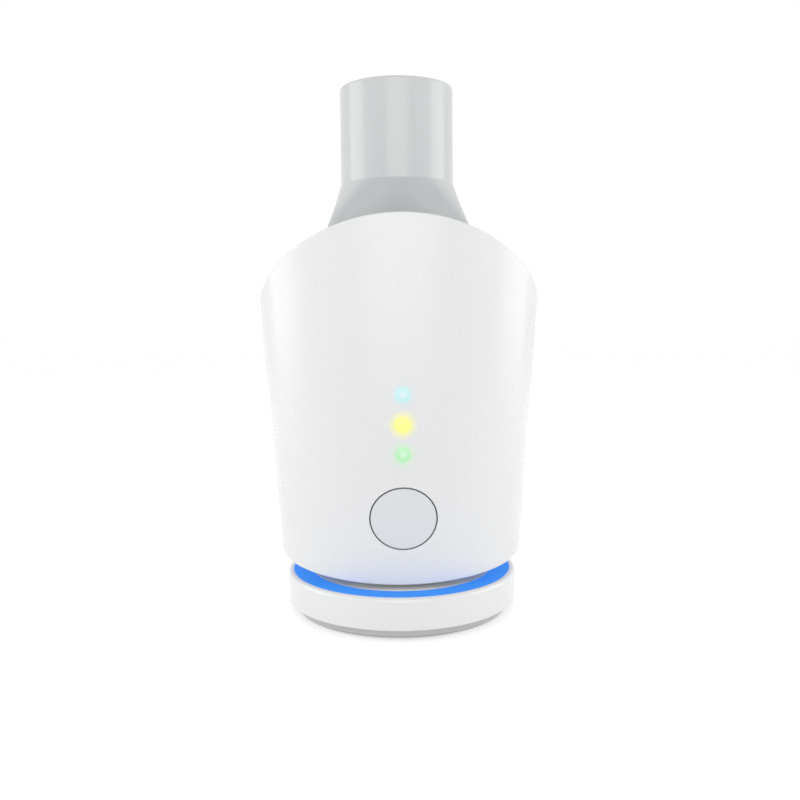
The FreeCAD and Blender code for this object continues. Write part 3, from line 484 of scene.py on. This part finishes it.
def dress_outside():
    """Pieces that are seen on the closed set, and the inner seals that share a material with one."""
    dress(lit_casing(), "front_shell", "rear_shell")
    dress(neck_grey_with_painted_shade(), "top_cover")
    dress(plastic("tube_grey", flank_grey, roughness=0.22), "mouthpiece")
    dress(plastic("base_white", (0.78, 0.785, 0.79), roughness=0.5), "base_plate")
    dress(plastic("foot_grey", (0.60, 0.605, 0.61), roughness=0.7, grain=1500.0), "base_foot")
    dress(plastic("button_white", (0.745, 0.76, 0.785), roughness=0.4), "button_cap")
    dress(plastic("gasket_dark", (0.02, 0.02, 0.022), roughness=0.6), "button_gasket", "transducer_seals")
    dress(plastic("pad_white", casing_white, roughness=0.25), "pad_housing")
    dress(plastic("disc_grey", (0.87, 0.87, 0.87), roughness=0.6, grain=1900.0), "pad_disc")
    dress(plastic("pad_grey", (0.55, 0.55, 0.56), roughness=0.5), "pad_base")
    dress(plastic("pad_rubber", (0.28, 0.28, 0.29), roughness=0.8, grain=1500.0), "pad_foot_ring")
    dress(plastic("plug_white", overmould_white, roughness=0.4), "cable_plug")
    dress(charger_plug(), "usb_plug")
    dress(light_ring(), "pad_ring")
    for name, look in lamp_looks.items():
        dress(lamp_lens(name, look), "lamp_lens_" + name)


def dress_inside():
    """Pieces that are seen when the handset or the pad is taken apart."""
    dress(plastic("seal_grey", (0.10, 0.10, 0.11), roughness=0.6), "mouthpiece_seal")
    dress(plastic("duct_pale", (0.70, 0.74, 0.77), roughness=0.3), "flow_duct")
    dress(metal("transducer_metal", (0.55, 0.56, 0.58), 0.25, (1.0, 8.0, 1.0)), "transducer_lower",
          "transducer_upper")
    dress(plastic("cap_black", (0.03, 0.03, 0.032), roughness=0.5), "transducer_caps")
    dress(plastic("switch_black", (0.02, 0.02, 0.022), roughness=0.45), "button_switch", "board_parts")
    dress(plastic("chip_pale", (0.85, 0.80, 0.55), roughness=0.3), "lamp_chips", "ring_leds")
    dress(circuit("board_green"), "main_board", "pad_board")
    dress(pouch_foil(), "battery")
    dress(winding("copper"), "receiver_coil", "transmitter_coil")
    dress(plastic("ferrite", (0.045, 0.045, 0.05), roughness=0.7, grain=4000.0, change=0.2),
          "receiver_ferrite", "transmitter_ferrite")
    dress(metal("screw_steel", (0.50, 0.50, 0.52), 0.3), "case_screws", "board_screws", "pad_screws")
    dress(metal("socket_steel", (0.60, 0.60, 0.62), 0.25, (1.0, 0.1, 1.0)), "usb_socket")


def white_rays(tree):
    """1 for rays that see the background: the camera's, and those in gloss and glass."""
    rays = tree.nodes.new("ShaderNodeLightPath")
    seen = rays.outputs["Is Camera Ray"]
    for other in ("Is Glossy Ray", "Is Transmission Ray"):
        seen = arithmetic(tree, "MAXIMUM", seen, rays.outputs[other])
    return seen


def add_world():
    """White behind everything, and softer light from all round."""
    world = bpy.data.worlds.new("studio")
    bpy.context.scene.world = world
    world.use_nodes = True
    tree = world.node_tree
    background = tree.nodes["Background"]
    background.inputs["Color"].default_value = (1.0, 1.0, 1.0, 1.0)
    level = between(tree, white_rays(tree), sky_level, 1.0)
    tree.links.new(level, background.inputs["Strength"])


def add_floor():
    """Pale floor that stays white where no shadow falls."""
    bpy.ops.mesh.primitive_plane_add(size=floor_size, location=(0, 0, 0))
    floor = bpy.context.object
    floor.name = "floor"
    material, tree, shader = node_material("floor_paper")
    shader.inputs["Base Color"].default_value = (floor_grey, floor_grey, floor_grey, 1.0)
    shader.inputs["Roughness"].default_value = 0.9
    glow = tree.nodes.new("ShaderNodeEmission")
    tree.links.new(between(tree, white_rays(tree), 0.0, floor_glow), glow.inputs["Strength"])
    both = tree.nodes.new("ShaderNodeAddShader")
    tree.links.new(shader.outputs["BSDF"], both.inputs[0])
    tree.links.new(glow.outputs["Emission"], both.inputs[1])
    tree.links.new(both.outputs["Shader"], tree.nodes["Material Output"].inputs["Surface"])
    floor.data.materials.append(material)


def add_lights():
    """Soft rectangular lamps that the camera doesn't see, each aimed at the handset's middle."""
    for name, (place, width, height, power, mirrored) in soft_boxes.items():
        light = bpy.data.lights.new(name, "AREA")
        light.shape = "RECTANGLE"
        light.size = width
        light.size_y = height
        light.energy = power
        holder = bpy.data.objects.new(name, light)
        holder.location = place
        holder.rotation_euler = (Vector(light_aim) - Vector(place)).to_track_quat("-Z", "Y").to_euler()
        holder.visible_camera = False
        holder.visible_glossy = mirrored
        bpy.context.scene.collection.objects.link(holder)


bpy.context.scene.view_settings.view_transform = "Standard"
add_camera()
add_cable()
dress_outside()
dress_inside()
add_world()
add_floor()
add_lights()
bpy.context.view_layer.update()
